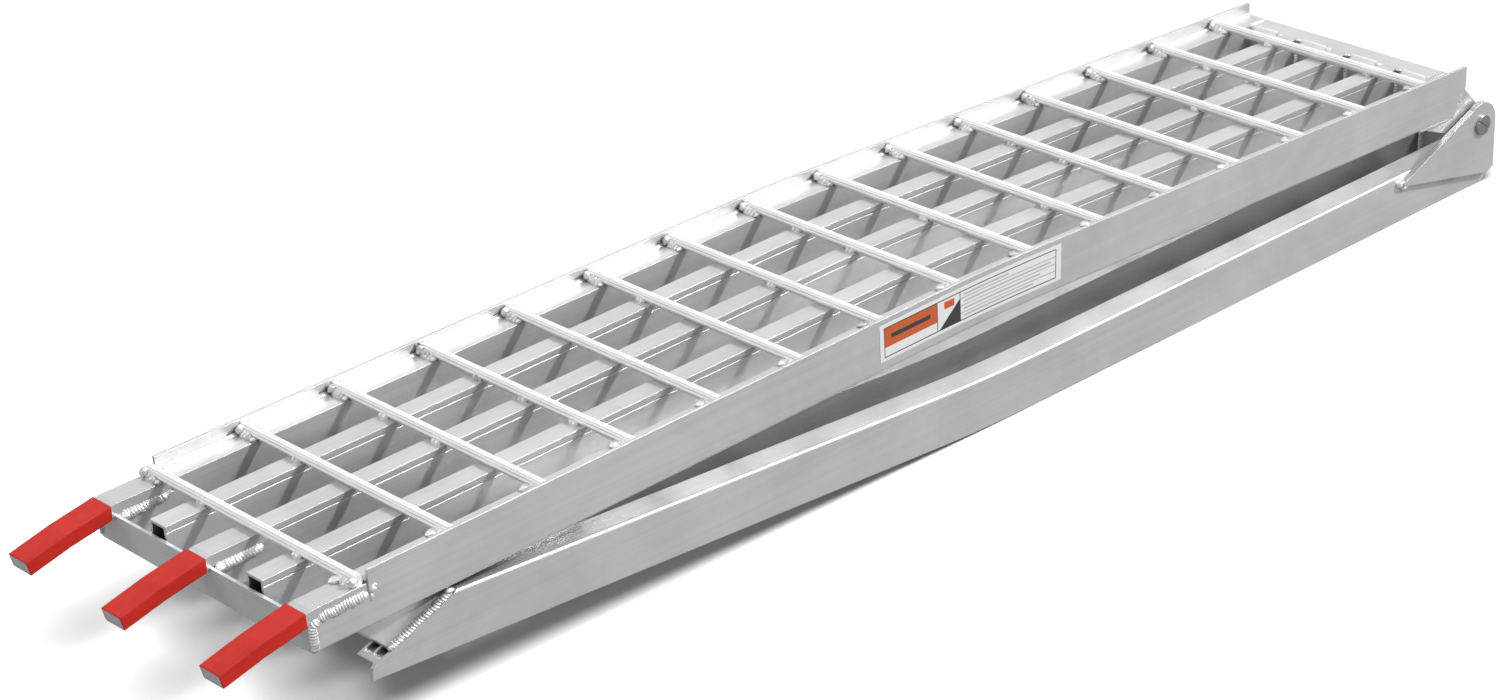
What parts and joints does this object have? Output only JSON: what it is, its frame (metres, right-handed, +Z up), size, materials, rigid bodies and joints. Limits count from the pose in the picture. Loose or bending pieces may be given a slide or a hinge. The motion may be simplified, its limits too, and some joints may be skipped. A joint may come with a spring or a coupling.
{
  "type": "folding loading ramp",
  "caption": "Arched aluminium loading ramp in two ladder-like halves that fold bottom to bottom on one hinge, with coated tailgate fingers and a bevelled foot",
  "frame": {"origin": "middle of the bottom of the folded ramp's box, on the floor", "axes": "+X along the ramp from the finger end to the hinge end, +Z up, -Y towards the right-hand rail that carries the label"},
  "size_m": [1.6154, 0.3044, 0.1584],
  "materials": {
    "rail_aluminium": "mill finish extrusion with fine lines along its length",
    "rung_aluminium": "bright ribbed extrusion",
    "plate_aluminium": "sawn flat bar and plate, slightly brushed",
    "zinc_steel": "zinc plated",
    "grip_coating": "satin dipped vinyl, red",
    "label_print": "satin vinyl label with plain coloured blocks"
  },
  "bodies": {
    "lower_half": {"lower_rail_left": "rail_aluminium", "lower_rail_right": "rail_aluminium", "lower_runner_left": "rail_aluminium", "lower_runner_middle": "rail_aluminium", "lower_runner_right": "rail_aluminium", "lower_rung_1": "rung_aluminium", "lower_rung_2": "rung_aluminium", "lower_rung_3": "rung_aluminium", "lower_rung_4": "rung_aluminium", "lower_rung_5": "rung_aluminium", "lower_rung_6": "rung_aluminium", "lower_rung_7": "rung_aluminium", "lower_rung_8": "rung_aluminium", "lower_rung_9": "rung_aluminium", "lower_rung_10": "rung_aluminium", "lower_rung_11": "rung_aluminium", "lower_rung_12": "rung_aluminium", "lower_rung_13": "rung_aluminium", "lower_rung_14": "rung_aluminium", "foot_plate": "plate_aluminium", "lower_crossbar": "plate_aluminium", "lower_hinge_plate_left": "plate_aluminium", "lower_hinge_plate_right": "plate_aluminium", "hinge_pin_left": "zinc_steel", "hinge_pin_right": "zinc_steel", "hinge_spacers": "zinc_steel", "hinge_washers": "zinc_steel", "hinge_lock_nuts": "zinc_steel"},
    "upper_half": {"upper_rail_left": "rail_aluminium", "upper_rail_right": "rail_aluminium", "upper_runner_left": "rail_aluminium", "upper_runner_middle": "rail_aluminium", "upper_runner_right": "rail_aluminium", "upper_rung_1": "rung_aluminium", "upper_rung_2": "rung_aluminium", "upper_rung_3": "rung_aluminium", "upper_rung_4": "rung_aluminium", "upper_rung_5": "rung_aluminium", "upper_rung_6": "rung_aluminium", "upper_rung_7": "rung_aluminium", "upper_rung_8": "rung_aluminium", "upper_rung_9": "rung_aluminium", "upper_rung_10": "rung_aluminium", "upper_rung_11": "rung_aluminium", "upper_rung_12": "rung_aluminium", "upper_rung_13": "rung_aluminium", "upper_rung_14": "rung_aluminium", "upper_rung_15": "rung_aluminium", "finger_plate": "plate_aluminium", "finger_bar_left": "plate_aluminium", "finger_bar_middle": "plate_aluminium", "finger_bar_right": "plate_aluminium", "finger_grip_left": "grip_coating", "finger_grip_middle": "grip_coating", "finger_grip_right": "grip_coating", "upper_crossbar": "plate_aluminium", "upper_hinge_plate_left": "plate_aluminium", "upper_hinge_plate_right": "plate_aluminium", "label": "label_print"}
  },
  "joints": [
    {"name": "unfold", "type": "hinge", "parent": "lower_half", "child": "upper_half", "pos_m": [0.78424, 0, 0.068], "axis": [0, 1, 0], "range_deg": [0, 178]}
  ]
}
